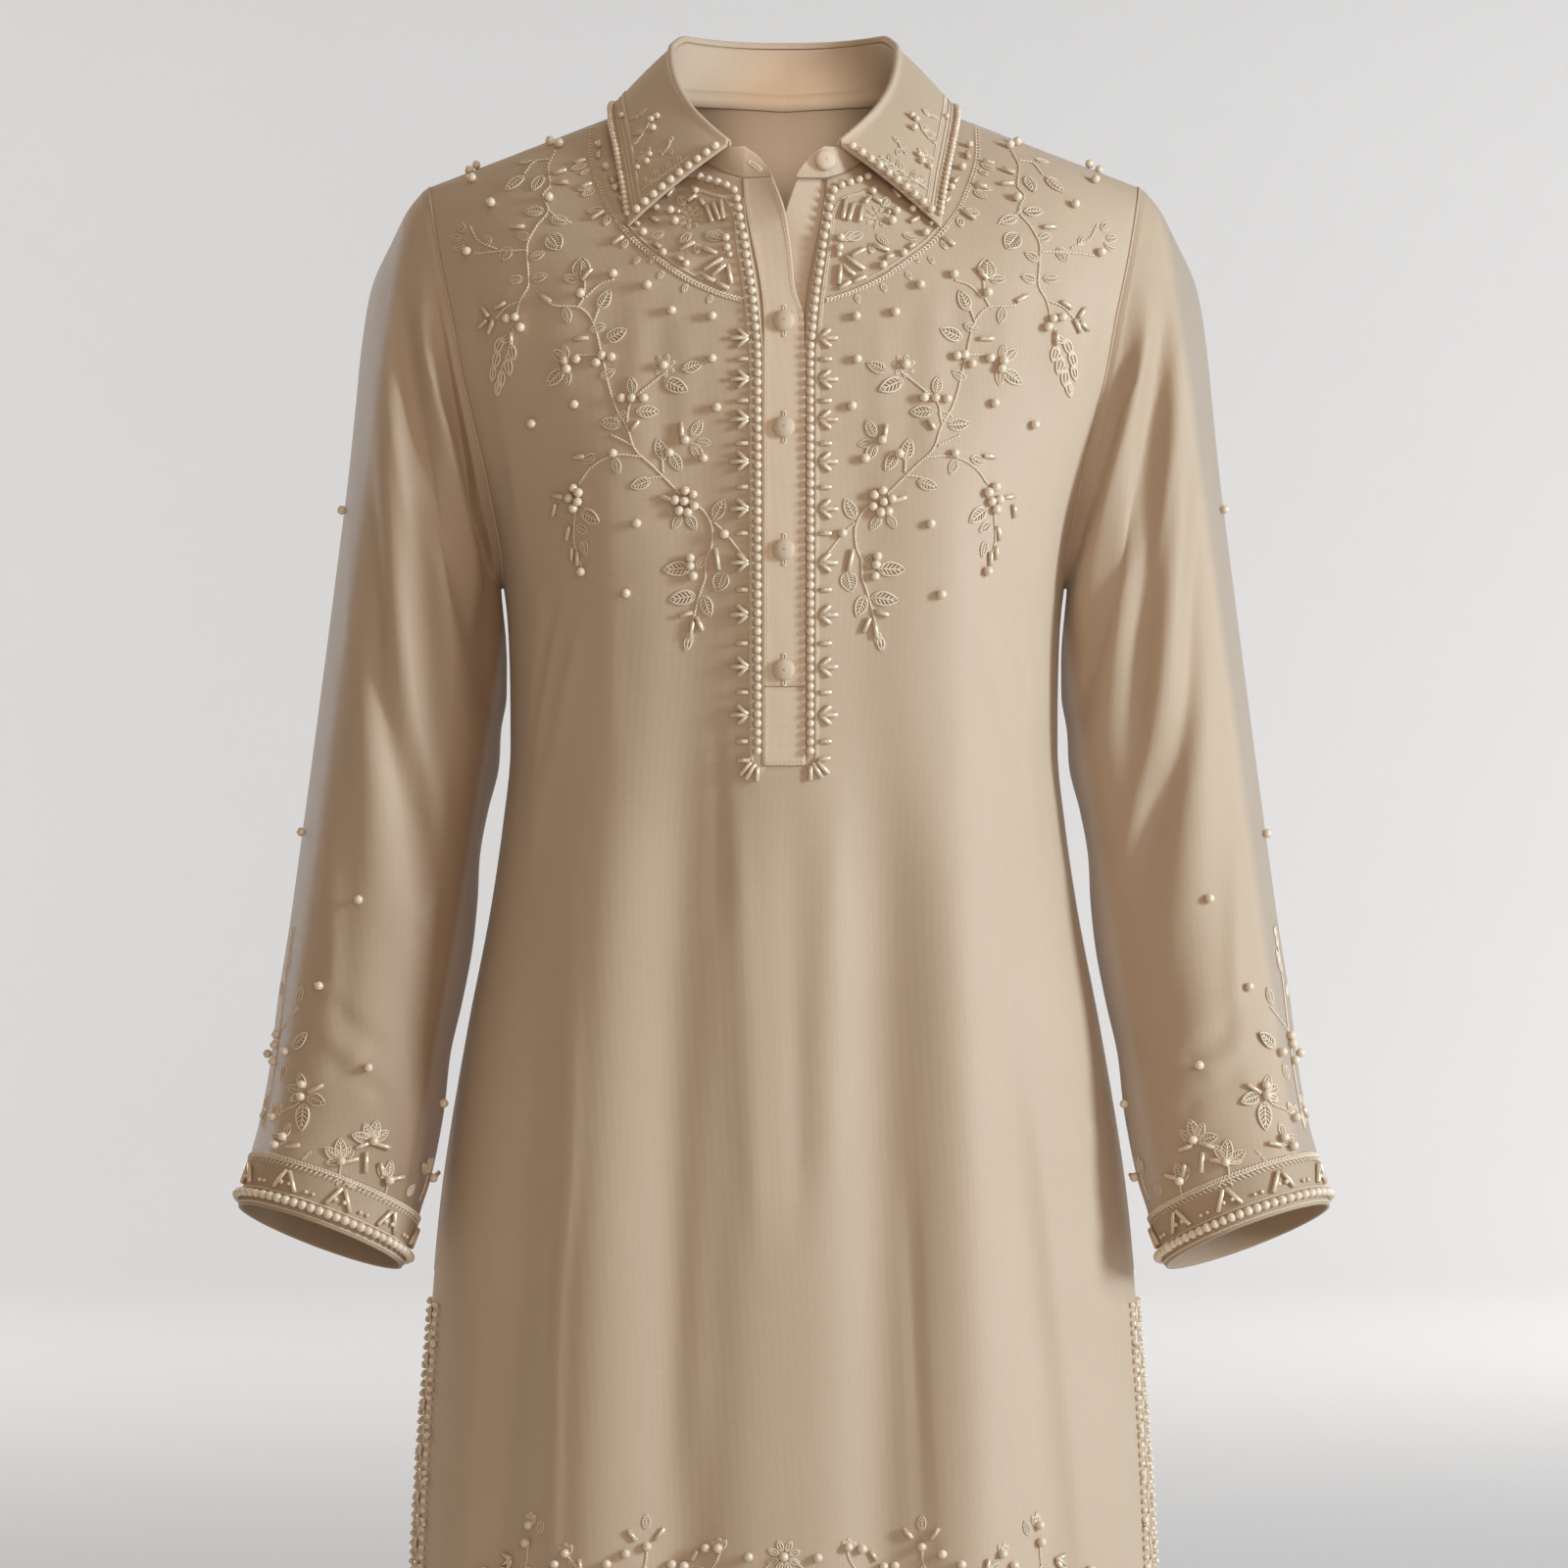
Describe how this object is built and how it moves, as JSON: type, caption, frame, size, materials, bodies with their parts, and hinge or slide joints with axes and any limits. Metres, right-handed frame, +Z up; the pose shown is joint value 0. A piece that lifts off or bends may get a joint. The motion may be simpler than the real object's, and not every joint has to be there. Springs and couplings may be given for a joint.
{
  "type": "tunic top",
  "caption": "Long tunic top with a turned-down shirt collar, buttoned half placket, long sleeves in beaded bands, side slits and tonal beadwork, worn form with nobody in it.",
  "frame": {"origin": "midway between the points where each shoulder seam meets the neck", "axes": "+Z up, the front faces -Y, +X to the wearer's left"},
  "size_m": [0.631, 0.2549, 0.9436],
  "materials": {
    "body_cloth": "matte crepe weave, opaque",
    "sleeve_cloth": "sheer matte crepe weave",
    "band_cloth": "matte weave under dense beads",
    "collar_cloth": "matte weave",
    "placket_cloth": "matte weave",
    "button_cloth": "matte cloth cover"
  },
  "bodies": {
    "root": {"front": "body_cloth", "back": "body_cloth", "sleeve_left": "sleeve_cloth", "sleeve_right": "sleeve_cloth", "cuff_band_left": "band_cloth", "cuff_band_right": "band_cloth", "collar_stand": "collar_cloth", "collar_fall": "collar_cloth", "placket_over": "placket_cloth", "placket_under": "placket_cloth", "placket_box": "placket_cloth", "button_1": "button_cloth", "button_2": "button_cloth", "button_3": "button_cloth", "button_4": "button_cloth", "collar_button": "button_cloth"}
  },
  "joints": []
}
